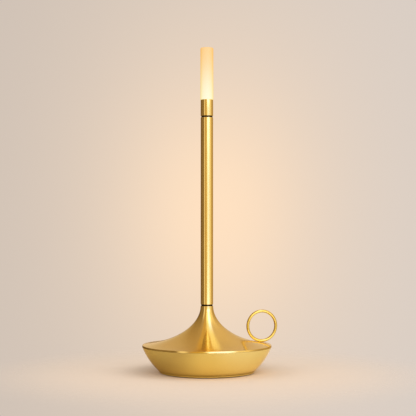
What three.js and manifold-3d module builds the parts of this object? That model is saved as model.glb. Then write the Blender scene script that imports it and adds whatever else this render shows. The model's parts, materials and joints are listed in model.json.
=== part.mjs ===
// A cordless candlestick table lamp, in millimetres, with +Z up.
// The origin is the centre of the underside of the foot, and the ring handle stands on +X.
import * as THREE from 'three';
import { mergeVertices } from 'three/addons/utils/BufferGeometryUtils.js';
import Module from 'manifold-3d';

const wasm = await Module();
wasm.setup();

// Driving sizes of the base
const rimRadius = 56;
const rimHeight = 23.4;
const rimBand = 0.8;
const rimChamfer = 0.25;
const footRadius = 41.3;
const footEdgeHeight = 1.4;
const footEdgeInset = 0.9;
const bowlCurveRadius = 57.8;
const neckRadius = 5.45;
const neckHeight = 57.4;
const neckPull = 16;
const rimPull = 30.4;
const rimRise = 2.9;

// Driving sizes of the stem and the head
const stemRadius = 5.4;
const stemLength = 162.4;
const grooveHeight = 1.4;
const grooveDepth = 0.45;
const collarRadius = 5.45;
const collarLength = 14;
const diffuserRadius = 5.65;
const diffuserLength = 45.6;
const diffuserEdge = 1.2;
const diffuserDome = 0.3;

// Driving sizes of the ring handle
const wireDiameter = 2.3;
const ringOuterRadius = 14.2;
const ringInset = 8;
const ringNeck = 0.4;
const studRadius = 0.7;
const studLength = 4.4;
const nutHeight = 1.6;
const nutRadius = 2.3;
const nutSides = 6;

// Walls and clearances
const seatGap = 0.3;
const slideGap = 0.25;
const runningGap = 0.1;
const bowlWall = 1.4;
const bowlFloor = 1.7;
const coverWall = 0.9;
const lipWall = 0.9;
const lipDepth = 2;
const stemWall = 0.7;
const collarWall = 0.7;
const diffuserWall = 1;
const passage = 2;

// Foot pad, screws and ballast
const padThickness = 1;
const padProud = 0.5;
const padLip = 1.1;
const screwRadius = 1.3;
const screwLength = 14.6;
const screwHeadRadius = 2.8;
const screwHeadHeight = 1.5;
const screwHeadEdge = 0.2;
const pillarRadius = 3;
const pillarAngles = [30, 150, 270];
const pillarClearance = 1.1;
const ballastThickness = 3;
const ballastMargin = 3.5;

// Battery and its carrier
const cellRadius = 9.1;
const cellLength = 49.5;
const cellEdge = 0.4;
const cellButton = 0.75;
const cellButtonRadius = 3;
const carrierFloor = 1.5;
const carrierWall = 1.5;
const sideWallHeight = 6;
const endWallHeight = 12;
const earLength = 6;
const earHalf = 5;
const earHoleRadius = 1.3;
const earScrewHead = 1.3;
const earScrewHeadRadius = 2.2;
const earScrewTip = 0.6;
const contactThickness = 0.4;
const contactBump = 0.6;
const contactHalf = 4;
const contactHeight = 15;
const contactBend = 3;

// Charging board and its port
const boardThickness = 1;
const boardHalf = 9;
const boardStart = 14;
const boardMargin = 2.5;
const boardPost = 2;
const shelfMargin = 5;
const chipPlace = 28;
const chipSize = 4;
const chipHeight = 1;
const usbWidth = 8.94;
const usbHeight = 3.26;
const usbDepth = 7.35;
const usbWall = 0.3;
const usbBack = 1;
const usbInset = 0.5;
const tongueHalfWidth = 3.35;
const tongueHalfHeight = 0.35;
const wireRadius = 0.5;
const leadRise = 1.4;

// Socket in the neck and the spigot that plugs into it
const sleeveWall = 0.6;
const sleeveLength = 21;
const socketBlock = 3.7;
const pinBelow = 2;
const pinAbove = 8.5;
const spigotSpare = 1;
const spigotPlug = 16;
const spigotWall = 1;
const insulatorWall = 0.4;
const contactWall = 0.3;

// Driver board in the stem
const driverHeight = 44;
const driverMargin = 0.4;
const driverThickness = 0.8;
const driverChip = [3, 1, 4];
const driverChipPlace = 30;
const driverCoil = [4, 2.2, 5];
const driverCoilPlace = 15;

// Head post, its rings and the light
const postSeat = 16;
const postWall = 1.4;
const postRise = 4.4;
const webHeight = 5.4;
const clipThickness = 0.7;
const clipRim = 0.35;
const clipGrip = 0.3;
const clipOpening = 50;
const magnetWall = 0.6;
const magnetHeight = 2.4;
const frictionSection = 0.3;
const frictionPlace = 2.4;
const frictionPinch = 0.05;
const sinkHeight = 5;
const ledBoardThickness = 1;
const lightGap = 0.75;
const domeRadius = 1.6;
const flexHalf = 1.2;
const flexFace = 0.2;
const sensorSize = [1.6, 0.7, 2.4];

// How finely round pieces are divided
const shellSides = 56;
const tubeSides = 32;
const coreSides = 24;
const smallSides = 16;
const boreSides = 12;

// Finishes
function finish(color, roughness, metalness) {
  return new THREE.MeshStandardMaterial({ color, roughness, metalness });
}

const satinBrass = finish(0xc79a45, 0.35, 1);
const brightBrass = finish(0xd9ac4a, 0.22, 1);
const plainBrass = finish(0xb98f45, 0.45, 1);
const steel = finish(0x9a9a9c, 0.4, 1);
const aluminium = finish(0xb8bbbf, 0.5, 1);
const nickel = finish(0x8e8f93, 0.3, 1);
const blackRubber = finish(0x17130f, 0.8, 0);
const blackPlastic = finish(0x1d1c1b, 0.55, 0);
const greyPlastic = finish(0x4a4d50, 0.6, 0);
const boardGreen = finish(0x1f5a38, 0.5, 0);
const chipBlack = finish(0x151515, 0.4, 0);
const cellWrap = finish(0x2f6f9e, 0.35, 0);
const redInsulation = finish(0xa8261e, 0.5, 0);
const blackInsulation = finish(0x141414, 0.5, 0);
const flexAmber = finish(0xb4701f, 0.4, 0);
const frosted = finish(0xfdf1cf, 0.45, 0);
const phosphor = finish(0xf2d34b, 0.5, 0);

const lamp = new THREE.Group();
const base = new THREE.Group();
const stem = new THREE.Group();
const head = new THREE.Group();
lamp.add(base, stem, head);

function place(group, name, geometry, material) {
  const mesh = new THREE.Mesh(geometry, material);
  mesh.name = name;
  group.add(mesh);
}

// Solids of revolution about Z, from a loop of [radius, height] points
function turned(points, sides = smallSides) {
  let area = 0;
  points.forEach(([r, z], i) => {
    const [nextR, nextZ] = points[(i + 1) % points.length];
    area += r * nextZ - nextR * z;
  });
  const loop = area > 0 ? points.slice() : points.slice().reverse();
  const start = loop.findIndex(([r], i) => r === 0 && loop.at(i - 1)[0] === 0);
  const ordered = start > 0 ? [...loop.slice(start), ...loop.slice(0, start)] : loop;
  if (start < 0) ordered.push(ordered[0]);
  const outline = ordered.map(([r, z]) => new THREE.Vector2(r, z));
  return new THREE.LatheGeometry(outline, sides).rotateX(Math.PI / 2);
}

function rod(radius, low, high, sides = smallSides) {
  return turned([[0, low], [radius, low], [radius, high], [0, high]], sides);
}

function tube(inner, outer, low, high, sides = smallSides) {
  return turned([[inner, low], [outer, low], [outer, high], [inner, high]], sides);
}

// Boxes from any two opposite corners
function block(from, to) {
  const size = to.map((value, axis) => Math.abs(value - from[axis]));
  const middle = to.map((value, axis) => (value + from[axis]) / 2);
  return new THREE.BoxGeometry(...size).translate(...middle);
}

function wire(points, steps = 14) {
  const path = new THREE.CatmullRomCurve3(points.map((p) => new THREE.Vector3(...p)));
  const section = new THREE.Shape();
  section.absarc(0, 0, wireRadius, 0, 2 * Math.PI);
  return new THREE.ExtrudeGeometry(section, { steps, extrudePath: path, curveSegments: 4 });
}

// Joining and cutting
function toSolid(geometry) {
  const bare = geometry.clone();
  bare.deleteAttribute('normal');
  bare.deleteAttribute('uv');
  const merged = mergeVertices(bare, 1e-4);
  return new wasm.Manifold(new wasm.Mesh({
    numProp: 3,
    vertProperties: new Float32Array(merged.attributes.position.array),
    triVerts: new Uint32Array(merged.index.array),
  }));
}

function toGeometry(solid) {
  const mesh = solid.getMesh();
  const places = new THREE.BufferAttribute(Float32Array.from(mesh.vertProperties), mesh.numProp);
  const geometry = new THREE.BufferGeometry();
  geometry.setAttribute('position', places);
  geometry.setIndex(new THREE.BufferAttribute(Uint32Array.from(mesh.triVerts), 1));
  return geometry;
}

function cut(geometry, ...tools) {
  return toGeometry(tools.reduce((rest, tool) => rest.subtract(toSolid(tool)), toSolid(geometry)));
}

function join(geometry, ...others) {
  return toGeometry(others.reduce((rest, other) => rest.add(toSolid(other)), toSolid(geometry)));
}

function common(geometry, other) {
  return toGeometry(toSolid(geometry).intersect(toSolid(other)));
}

// Heights up the lamp
const recessRoof = padThickness + seatGap;
const floorTop = recessRoof + bowlFloor;
const bandBottom = rimHeight - rimBand;
const bowlTop = bandBottom - seatGap;
const stemBottom = neckHeight + grooveHeight;
const stemTop = stemBottom + stemLength;
const collarBottom = stemTop + grooveHeight;
const collarTop = collarBottom + collarLength;
const diffuserBottom = collarTop + seatGap;
const diffuserTop = collarTop + diffuserLength;

// The bowl's side is one arc from the foot's edge up to the rim
function arcThrough(low, high, radius) {
  const chord = Math.hypot(high[0] - low[0], high[1] - low[1]);
  const reach = Math.sqrt(radius ** 2 - (chord / 2) ** 2);
  const across = [(high[1] - low[1]) / chord, -(high[0] - low[0]) / chord];
  return {
    r: (low[0] + high[0]) / 2 - across[0] * reach,
    z: (low[1] + high[1]) / 2 - across[1] * reach,
    radius,
  };
}

const bowlArc = arcThrough([footRadius, footEdgeHeight], [rimRadius, bowlTop], bowlCurveRadius);

function bowlRadiusAt(height, wall = 0) {
  return bowlArc.r + Math.sqrt((bowlArc.radius - wall) ** 2 - (height - bowlArc.z) ** 2);
}

function bowlSide(low, high, wall, steps) {
  return Array.from({ length: steps + 1 }, (_, i) => {
    const height = low + ((high - low) * i) / steps;
    return [bowlRadiusAt(height, wall), height];
  });
}

// The cover sweeps from the upright neck out to the rim on one cubic curve
const coverCurve = new THREE.CubicBezierCurve(
  new THREE.Vector2(neckRadius, neckHeight),
  new THREE.Vector2(neckRadius, neckHeight - neckPull),
  new THREE.Vector2(rimRadius - rimChamfer - rimPull, rimHeight + rimRise),
  new THREE.Vector2(rimRadius - rimChamfer, rimHeight),
);

function coverPoint(t, depth = 0) {
  const point = coverCurve.getPoint(t);
  const along = coverCurve.getTangent(t);
  return [point.x + along.y * depth, point.y - along.x * depth];
}

function coverParameterAt(radius, depth = 0) {
  let low = 0;
  let high = 1;
  for (let turn = 0; turn < 40; turn += 1) {
    const middle = (low + high) / 2;
    if (coverPoint(middle, depth)[0] < radius) low = middle;
    else high = middle;
  }
  return (low + high) / 2;
}

function coverLine(from, to, depth, steps) {
  return Array.from({ length: steps + 1 }, (_, i) => coverPoint(from + ((to - from) * i) / steps, depth));
}

// Pieces of the handle are made upright at the origin, then stood square on the cover's slope
const ringParameter = coverParameterAt(rimRadius - ringInset);
const ringFoot = coverPoint(ringParameter);
const ringSlope = coverCurve.getTangent(ringParameter);
const ringTilt = Math.atan2(-ringSlope.y, ringSlope.x);

function standOnCover(geometry) {
  return geometry.rotateY(ringTilt).translate(ringFoot[0], 0, ringFoot[1]);
}

// Round-ended slot in XZ, run along Y
function slotAlongY(width, height, from, to, middle) {
  const shape = new THREE.Shape();
  const half = (width - height) / 2;
  shape.absarc(half, 0, height / 2, -Math.PI / 2, Math.PI / 2);
  shape.absarc(-half, 0, height / 2, Math.PI / 2, (3 * Math.PI) / 2);
  const options = { depth: to - from, bevelEnabled: false, curveSegments: 5 };
  return new THREE.ExtrudeGeometry(shape, options).rotateX(Math.PI / 2).translate(0, to, middle);
}

// Levels and places inside the base
const ballastBottom = floorTop + seatGap;
const ballastTop = ballastBottom + ballastThickness;
const ballastRadius = bowlRadiusAt(ballastBottom, bowlWall) - ballastMargin;
const carrierBottom = ballastTop + seatGap;
const carrierTop = carrierBottom + carrierFloor;
const cellHeight = carrierTop + seatGap + cellRadius;
const troughHalf = cellRadius + seatGap;
const carrierHalf = troughHalf + carrierWall;
const leafInner = cellLength / 2 + seatGap + contactBump;
const leafOuter = leafInner + contactThickness;
const leafTop = carrierTop + contactHeight;
const endWallInner = leafOuter + seatGap;
const endWallOuter = endWallInner + carrierWall;
const earHolePlace = endWallOuter + earLength / 2;
const boardBottom = carrierTop + boardPost + seatGap;
const boardTop = boardBottom + boardThickness;
const boardEnd = bowlRadiusAt(boardBottom, bowlWall) - boardMargin;
const shelfEnd = boardEnd - shelfMargin;
const usbBottom = boardTop + seatGap;
const usbMiddle = usbBottom + usbHeight / 2;
const usbMouth = bowlRadiusAt(usbBottom) - usbInset;
const usbRear = usbMouth - usbDepth;

// The two rear pillars stand just clear of the battery's trough
const firstAngle = THREE.MathUtils.degToRad(pillarAngles[0]);
const pillarPlace = (carrierHalf + pillarClearance + pillarRadius) / Math.sin(firstAngle);
const screwBore = screwRadius + seatGap;
const aroundPillars = pillarAngles.map((degrees) => {
  const angle = THREE.MathUtils.degToRad(degrees);
  return [pillarPlace * Math.cos(angle), pillarPlace * Math.sin(angle)];
});

// Bowl, with a recess for the pad, sunk screw holes and the opening of the port
const padRecess = footRadius - footEdgeInset - padLip;

function makeBowl() {
  const shell = turned([
    [padRecess, padProud],
    [footRadius - footEdgeInset, padProud],
    ...bowlSide(footEdgeHeight, bowlTop, 0, 7),
    ...bowlSide(floorTop, bowlTop, bowlWall, 6).reverse(),
    [0, floorTop],
    [0, recessRoof],
    [padRecess, recessRoof],
  ], shellSides);
  const headBore = screwHeadRadius + seatGap;
  const headTop = recessRoof + screwHeadEdge + seatGap;
  const sinks = aroundPillars.map(([x, y]) => turned([
    [0, recessRoof - passage],
    [headBore, recessRoof - passage],
    [headBore, headTop],
    [screwBore, headTop + screwHeadHeight],
    [screwBore, floorTop + passage],
    [0, floorTop + passage],
  ]).translate(x, y, 0));
  const width = usbWidth + 2 * seatGap;
  const height = usbHeight + 2 * seatGap;
  return cut(shell, ...sinks, slotAlongY(width, height, usbRear, rimRadius, usbMiddle));
}

// Cover: neck, sweep and rim band in one shell, with a lip that locates in the bowl
const lipBottom = bandBottom - lipDepth;
const lipOuter = bowlRadiusAt(lipBottom, bowlWall) - seatGap;
const lipInner = lipOuter - lipWall;

function makeCover() {
  const lipParameter = coverParameterAt(lipInner, coverWall);
  const shell = turned([
    [lipInner, lipBottom],
    [lipOuter, lipBottom],
    [lipOuter, bandBottom],
    [rimRadius, bandBottom],
    [rimRadius, rimHeight - rimChamfer],
    ...coverLine(0, 1, 0, 12).reverse(),
    ...coverLine(0, lipParameter, coverWall, 7),
  ], shellSides);
  return cut(shell, standOnCover(rod(studRadius + seatGap, -studLength, studLength)));
}

place(base, 'base_bowl', makeBowl(), satinBrass);
place(base, 'base_cover', makeCover(), satinBrass);
place(base, 'foot_pad', rod(padRecess - seatGap, 0, padThickness, shellSides), blackRubber);

// Ring handle, brazed to a stud that a nut draws up under the cover
function makeRing() {
  const middleRadius = ringOuterRadius - wireDiameter / 2;
  const hoop = new THREE.TorusGeometry(middleRadius, wireDiameter / 2, 8, 40);
  hoop.rotateX(Math.PI / 2).translate(0, 0, ringNeck + ringOuterRadius);
  return standOnCover(join(hoop, rod(studRadius, -studLength, ringNeck + wireDiameter / 2, boreSides)));
}

function makeNut() {
  const top = -coverWall - seatGap;
  return standOnCover(tube(studRadius + seatGap, nutRadius, top - nutHeight, top, nutSides));
}

place(base, 'handle_ring', makeRing(), brightBrass);
place(base, 'handle_nut', makeNut(), plainBrass);

// Ballast disc, with holes for the screws
function uprightHoles(places, radius, low, high) {
  return places.map(([x, y]) => rod(radius, low - passage, high + passage, boreSides).translate(x, y, 0));
}

const earHoles = [[earHolePlace, 0], [-earHolePlace, 0]];

function makeBallast() {
  const plate = rod(ballastRadius, ballastBottom, ballastTop, 40);
  const screwHoles = uprightHoles(aroundPillars, screwBore, ballastBottom, ballastTop);
  return cut(plate, ...screwHoles, ...uprightHoles(earHoles, earHoleRadius, ballastBottom, ballastTop));
}

place(base, 'ballast_plate', makeBallast(), steel);

// Pillars brazed under the cover, and the screws that draw it down on the bowl
function makePillar(x, y) {
  const depth = coverWall + seatGap;
  const from = coverParameterAt(pillarPlace - pillarRadius - passage, depth);
  const to = coverParameterAt(pillarPlace + pillarRadius + passage, depth);
  const roof = coverLine(from, to, depth, 4).reverse();
  const room = turned([[roof.at(-1)[0], 0], [roof[0][0], 0], ...roof], shellSides);
  const boreTop = recessRoof + screwLength + seatGap;
  const post = turned([
    [0, boreTop],
    [screwBore, boreTop],
    [screwBore, carrierBottom],
    [pillarRadius, carrierBottom],
    [pillarRadius, neckHeight],
    [0, neckHeight],
  ]).translate(x, y, 0);
  return common(post, room);
}

function makeBaseScrew() {
  const bottom = recessRoof + runningGap;
  const edge = bottom + screwHeadEdge;
  return turned([
    [0, bottom],
    [screwHeadRadius, bottom],
    [screwHeadRadius, edge],
    [screwRadius, edge + screwHeadHeight],
    [screwRadius, recessRoof + screwLength],
    [0, recessRoof + screwLength],
  ]);
}

aroundPillars.forEach(([x, y], i) => {
  place(base, `cover_pillar_${i + 1}`, makePillar(x, y), plainBrass);
  place(base, `base_screw_${i + 1}`, makeBaseScrew().translate(x, y, 0), steel);
});

// Battery carrier: a trough for the cell, two ears and a shelf with rails for the board
function makeCarrier() {
  const floor = block([-endWallOuter, -carrierHalf, carrierBottom], [endWallOuter, carrierHalf, carrierTop]);
  const earEnd = endWallOuter + earLength;
  const ears = block([-earEnd, -earHalf, carrierBottom], [earEnd, earHalf, carrierTop]);
  const shelf = block([-boardHalf, 0, carrierBottom], [boardHalf, shelfEnd, carrierTop]);
  const walls = [-1, 1].flatMap((side) => [
    block(
      [-endWallOuter, side * troughHalf, carrierBottom],
      [endWallOuter, side * carrierHalf, carrierTop + sideWallHeight],
    ),
    block(
      [side * endWallInner, -carrierHalf, carrierBottom],
      [side * endWallOuter, carrierHalf, carrierTop + endWallHeight],
    ),
    block(
      [side * (boardHalf - carrierWall), carrierHalf, carrierBottom],
      [side * boardHalf, shelfEnd, carrierTop + boardPost],
    ),
  ]);
  const body = join(floor, ears, shelf, ...walls);
  return cut(body, ...uprightHoles(earHoles, earHoleRadius, carrierBottom, carrierTop));
}

place(base, 'battery_carrier', makeCarrier(), greyPlastic);

function makeEarScrew() {
  const radius = earHoleRadius - seatGap;
  const underHead = carrierTop + seatGap;
  return turned([
    [0, ballastBottom + earScrewTip],
    [radius, ballastBottom + earScrewTip],
    [radius, underHead],
    [earScrewHeadRadius, underHead],
    [earScrewHeadRadius, underHead + earScrewHead],
    [0, underHead + earScrewHead],
  ], boreSides);
}

earHoles.forEach(([x, y], i) => {
  place(base, `carrier_screw_${i + 1}`, makeEarScrew().translate(x, y, 0), steel);
});

function makeCell() {
  const end = cellLength / 2;
  const shoulder = end - cellButton;
  return turned([
    [0, -end],
    [cellRadius - cellEdge, -end],
    [cellRadius, cellEdge - end],
    [cellRadius, shoulder - cellEdge],
    [cellRadius - cellEdge, shoulder],
    [cellButtonRadius, shoulder],
    [cellButtonRadius, end],
    [0, end],
  ], coreSides).rotateY(Math.PI / 2).translate(0, 0, cellHeight);
}

place(base, 'battery_cell', makeCell(), cellWrap);

// Spring leaves that touch the ends of the cell, bowed towards it
function makeLeaf() {
  const line = [
    [leafInner, carrierTop + seatGap],
    [leafInner, cellHeight - contactBend],
    [leafInner - contactBump, cellHeight],
    [leafInner, cellHeight + contactBend],
    [leafInner, leafTop],
  ];
  const back = line.map(([x, z]) => [x + contactThickness, z]).reverse();
  const shape = new THREE.Shape([...line, ...back].map(([x, z]) => new THREE.Vector2(x, z)));
  const leaf = new THREE.ExtrudeGeometry(shape, { depth: 2 * contactHalf, bevelEnabled: false });
  return leaf.translate(0, 0, -contactHalf).rotateX(Math.PI / 2);
}

place(base, 'contact_plus', makeLeaf(), nickel);
place(base, 'contact_minus', makeLeaf().rotateZ(Math.PI), nickel);

// Charging board with its chip and port
const boardFrom = [-boardHalf, boardStart, boardBottom];
place(base, 'charge_board', block(boardFrom, [boardHalf, boardEnd, boardTop]), boardGreen);
const chipFrom = [-chipSize / 2, chipPlace, boardTop + seatGap];
const chipTo = [chipSize / 2, chipPlace + chipSize, boardTop + seatGap + chipHeight];
place(base, 'charge_chip', block(chipFrom, chipTo), chipBlack);

function makeUsbShell() {
  const width = usbWidth - 2 * usbWall;
  const height = usbHeight - 2 * usbWall;
  const outer = slotAlongY(usbWidth, usbHeight, usbRear, usbMouth, usbMiddle);
  return cut(outer, slotAlongY(width, height, usbRear + usbBack, usbMouth + passage, usbMiddle));
}

place(base, 'usb_shell', makeUsbShell(), steel);
const tongueFrom = [-tongueHalfWidth, usbRear + usbBack + seatGap, usbMiddle - tongueHalfHeight];
const tongueTo = [tongueHalfWidth, usbMouth - usbBack, usbMiddle + tongueHalfHeight];
place(base, 'usb_tongue', block(tongueFrom, tongueTo), blackPlastic);

// Socket in the neck: an outer sleeve, and a centre pin held by an insulator
const sleeveRadius = neckRadius - coverWall - seatGap;
const socketBore = sleeveRadius - sleeveWall;
const sleeveTop = neckHeight - seatGap;
const sleeveBottom = sleeveTop - sleeveLength;
const socketBlockTop = sleeveBottom + seatGap + socketBlock;
const spigotRadius = socketBore - slideGap;
const spigotBore = spigotRadius - spigotWall;
const insulatorOutside = spigotBore - seatGap;
const insulatorInside = insulatorOutside - insulatorWall;
const contactOutside = insulatorInside - seatGap;
const contactBore = contactOutside - contactWall;
const pinRadius = contactBore - seatGap;
const pinBottom = sleeveBottom - pinBelow;
const pinTop = socketBlockTop + pinAbove;
const socketSleeve = tube(socketBore, sleeveRadius, sleeveBottom, sleeveTop, tubeSides);
place(base, 'socket_sleeve', socketSleeve, plainBrass);
const blockBottom = sleeveBottom + seatGap;
const socketInsulator = tube(contactBore, socketBore - seatGap, blockBottom, socketBlockTop);
place(base, 'socket_insulator', socketInsulator, blackPlastic);
place(base, 'socket_pin', rod(pinRadius, pinBottom, pinTop, boreSides), plainBrass);

// Leads from the ends of the cell over its top to the board
const leadHeight = boardTop + seatGap + wireRadius;
const cellTop = cellHeight + cellRadius;
const overCell = cellTop + leadRise;
const leadPlace = leafOuter + seatGap + wireRadius;

function cellLead(side) {
  return wire([
    [side * leadPlace, 2, leafTop - 1],
    [side * leadPlace, 3, overCell - 1],
    [side * (leadPlace - 3.3), 5, overCell],
    [side * 16, cellRadius + 0.4, overCell - 1.5],
    [side * 9, boardStart + 0.5, overCell - 8],
    [side * 6.5, boardStart + 2.5, leadHeight + 2],
    [side * 6.5, boardStart + 5, leadHeight],
  ]);
}

place(base, 'cell_wire_plus', cellLead(1), redInsulation);
place(base, 'cell_wire_minus', cellLead(-1), blackInsulation);

// Leads from the board up to the socket's pin and sleeve
const sleeveMiddle = (socketBore + sleeveRadius) / 2;
const leadArch = (cellTop + pinBottom) / 2;
place(base, 'socket_wire_plus', wire([
  [2.2, boardStart + 8, leadHeight],
  [2.2, boardStart + 5.5, leadHeight + 3],
  [1.8, boardStart + 1.5, cellTop - 2.4],
  [1, 8, leadArch],
  [0.2, pinRadius + 3, pinBottom + pinBelow / 4],
  [0, pinRadius + seatGap, pinBottom + pinBelow / 2],
]), redInsulation);
place(base, 'socket_wire_minus', wire([
  [-2.2, boardStart + 8, leadHeight],
  [-2.2, boardStart + 5.5, leadHeight + 3],
  [-2.8, boardStart + 1.5, cellTop - 2.4],
  [-sleeveMiddle, 8, pinBottom - 3],
  [-sleeveMiddle, 1.6, sleeveBottom - 3],
  [-sleeveMiddle, 0, sleeveBottom - seatGap],
]), blackInsulation);

// Stem: tube, plug-in spigot and gasket
const boreRadius = stemRadius - stemWall;
const plugRadius = boreRadius - seatGap;
const spigotTip = socketBlockTop + spigotSpare;
const spigotTop = stemBottom + spigotPlug;
const ringOutside = stemRadius - grooveDepth;
place(stem, 'stem_tube', tube(boreRadius, stemRadius, stemBottom, stemTop, tubeSides), satinBrass);
place(stem, 'stem_spigot', turned([
  [spigotBore, spigotTip],
  [spigotRadius, spigotTip],
  [spigotRadius, stemBottom],
  [plugRadius, stemBottom],
  [plugRadius, spigotTop],
  [spigotBore, spigotTop],
], coreSides), plainBrass);
const gasketBore = spigotRadius + seatGap;
const gasket = tube(gasketBore, ringOutside, neckHeight + seatGap, stemBottom - seatGap, tubeSides);
place(stem, 'neck_gasket', gasket, blackRubber);

const contactLow = spigotTip + seatGap;
const contactRoof = pinTop + spigotSpare;
const contactHigh = contactRoof + spigotSpare;
const spigotInsulator = tube(insulatorInside, insulatorOutside, contactLow, contactHigh);
place(stem, 'spigot_insulator', spigotInsulator, blackPlastic);
place(stem, 'spigot_contact', turned([
  [0, contactRoof],
  [contactBore, contactRoof],
  [contactBore, contactLow],
  [contactOutside, contactLow],
  [contactOutside, contactHigh],
  [0, contactHigh],
]), plainBrass);

// Driver board that slides in the top of the stem, fed by two leads
const postBottom = stemTop - postSeat;
const driverTop = postBottom - seatGap;
const driverBottom = driverTop - driverHeight;
const driverHalf = boreRadius - driverMargin;
const driverFace = driverThickness / 2;
const leadTop = driverBottom - seatGap;
const plusLead = rod(wireRadius, contactHigh + seatGap, leadTop, 8);
place(stem, 'stem_wire_plus', plusLead, redInsulation);
const minusLead = rod(wireRadius, spigotTop + seatGap, leadTop, 8);
minusLead.translate(-(spigotBore + plugRadius) / 2, 0, 0);
place(stem, 'stem_wire_minus', minusLead, blackInsulation);
const driverFrom = [-driverHalf, -driverFace, driverBottom];
place(stem, 'driver_board', block(driverFrom, [driverHalf, driverFace, driverTop]), boardGreen);

function onDriver([width, depth, height], rise) {
  const front = driverFace + seatGap;
  const bottom = driverBottom + rise;
  return block([-width / 2, front, bottom], [width / 2, front + depth, bottom + height]);
}

place(stem, 'driver_chip', onDriver(driverChip, driverChipPlace), chipBlack);
place(stem, 'driver_inductor', onDriver(driverCoil, driverCoilPlace), chipBlack);

// Head post in the top of the stem: the collar turns on it, and it carries the light
const cupRadius = collarRadius - collarWall;
const magnetOuter = cupRadius - seatGap;
const magnetInner = magnetOuter - magnetWall;
const clipOuter = magnetInner - seatGap;
const postRadius = clipOuter - clipRim;
const postBore = postRadius - postWall;
const clipInner = postRadius - clipGrip;
const clipGroove = clipInner - seatGap;
const webTop = collarBottom + webHeight;
const clipBottom = webTop + seatGap;
const clipTop = clipBottom + clipThickness;
const magnetTop = clipBottom + magnetHeight;
const postTop = collarTop + postRise;
const collarBore = postRadius + runningGap;
const frictionMiddle = collarBore - frictionPinch - frictionSection;
const frictionHeight = collarBottom + frictionPlace;
const frictionGroove = frictionMiddle - frictionSection - slideGap;
const grooveLow = frictionHeight - frictionSection - seatGap;
const grooveHigh = frictionHeight + frictionSection + seatGap;
place(stem, 'head_post', turned([
  [postBore, postBottom],
  [plugRadius, postBottom],
  [plugRadius, stemTop],
  [postRadius, stemTop],
  [postRadius, grooveLow],
  [frictionGroove, grooveLow],
  [frictionGroove, grooveHigh],
  [postRadius, grooveHigh],
  [postRadius, clipBottom - seatGap],
  [clipGroove, clipBottom - seatGap],
  [clipGroove, clipTop + seatGap],
  [postRadius, clipTop + seatGap],
  [postRadius, postTop],
  [postBore, postTop],
], coreSides), plainBrass);
const washerBore = postRadius + seatGap;
const washer = tube(washerBore, ringOutside, stemTop + seatGap, collarBottom - seatGap, tubeSides);
place(stem, 'collar_washer', washer, blackPlastic);
const frictionRing = new THREE.TorusGeometry(frictionMiddle, frictionSection, 6, 20);
place(stem, 'friction_ring', frictionRing.translate(0, 0, frictionHeight), blackRubber);

function makeClip() {
  const halfOpening = THREE.MathUtils.degToRad(clipOpening) / 2;
  const shape = new THREE.Shape();
  shape.absarc(0, 0, clipOuter, halfOpening, 2 * Math.PI - halfOpening, false);
  shape.absarc(0, 0, clipInner, 2 * Math.PI - halfOpening, halfOpening, true);
  const options = { depth: clipThickness, bevelEnabled: false, curveSegments: 12 };
  return new THREE.ExtrudeGeometry(shape, options).translate(0, 0, clipBottom);
}

place(stem, 'retaining_clip', makeClip(), steel);

// Light: heat sink, board and emitter, fed by a flexible strip up the post
const diffuserBore = diffuserRadius - diffuserWall;
const lightRadius = diffuserBore - lightGap;
const sinkBottom = postTop + seatGap;
const sinkTop = sinkBottom + sinkHeight;
const ledBoardBottom = sinkTop + seatGap;
const ledBoardTop = ledBoardBottom + ledBoardThickness;
const domeBottom = ledBoardTop + seatGap;
place(stem, 'led_heatsink', tube(postBore, lightRadius, sinkBottom, sinkTop, coreSides), aluminium);
place(stem, 'led_board', rod(lightRadius, ledBoardBottom, ledBoardTop, coreSides), aluminium);

function quarterRound(centreRadius, centreHeight, radius, steps) {
  return Array.from({ length: steps + 1 }, (_, i) => {
    const angle = ((Math.PI / 2) * i) / steps;
    const inwards = i === steps ? centreRadius : centreRadius + radius * Math.cos(angle);
    return [inwards, centreHeight + radius * Math.sin(angle)];
  });
}

const dome = turned([[0, domeBottom], ...quarterRound(0, domeBottom, domeRadius, 5)]);
place(stem, 'led_emitter', dome, phosphor);
const flexFrom = [-flexHalf, -flexFace, driverTop + seatGap];
const flexTo = [flexHalf, flexFace, ledBoardBottom - seatGap];
place(stem, 'led_flex', block(flexFrom, flexTo), flexAmber);
const [sensorWidth, sensorDepth, sensorHeight] = sensorSize;
const sensorFront = flexFace + seatGap;
const sensorFrom = [-sensorWidth / 2, sensorFront, webTop];
const sensorTo = [sensorWidth / 2, sensorFront + sensorDepth, webTop + sensorHeight];
place(stem, 'twist_sensor', block(sensorFrom, sensorTo), chipBlack);

// Head: the collar that is turned to dim the lamp, with its magnet and the diffuser
place(head, 'collar', turned([
  [collarBore, collarBottom],
  [collarRadius, collarBottom],
  [collarRadius, collarTop],
  [cupRadius, collarTop],
  [cupRadius, webTop],
  [collarBore, webTop],
], tubeSides), satinBrass);
place(head, 'twist_magnet', tube(magnetInner, magnetOuter, clipBottom, magnetTop, coreSides), nickel);

function makeDiffuser() {
  const shoulder = diffuserTop - diffuserDome - diffuserEdge;
  const roof = diffuserTop - diffuserWall;
  const neckOuter = cupRadius - seatGap;
  const neckInner = postRadius + slideGap;
  const neckBottom = magnetTop + seatGap;
  return turned([
    [0, roof],
    [diffuserBore - diffuserEdge, roof - diffuserDome],
    [diffuserBore, roof - diffuserDome - diffuserEdge],
    [diffuserBore, diffuserBottom + diffuserWall],
    [neckInner, diffuserBottom],
    [neckInner, neckBottom],
    [neckOuter, neckBottom],
    [neckOuter, diffuserBottom],
    [diffuserRadius, diffuserBottom],
    ...quarterRound(diffuserRadius - diffuserEdge, shoulder, diffuserEdge, 4),
    [0, diffuserTop],
  ], tubeSides);
}

place(head, 'diffuser', makeDiffuser(), frosted);

export default lamp;
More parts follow.
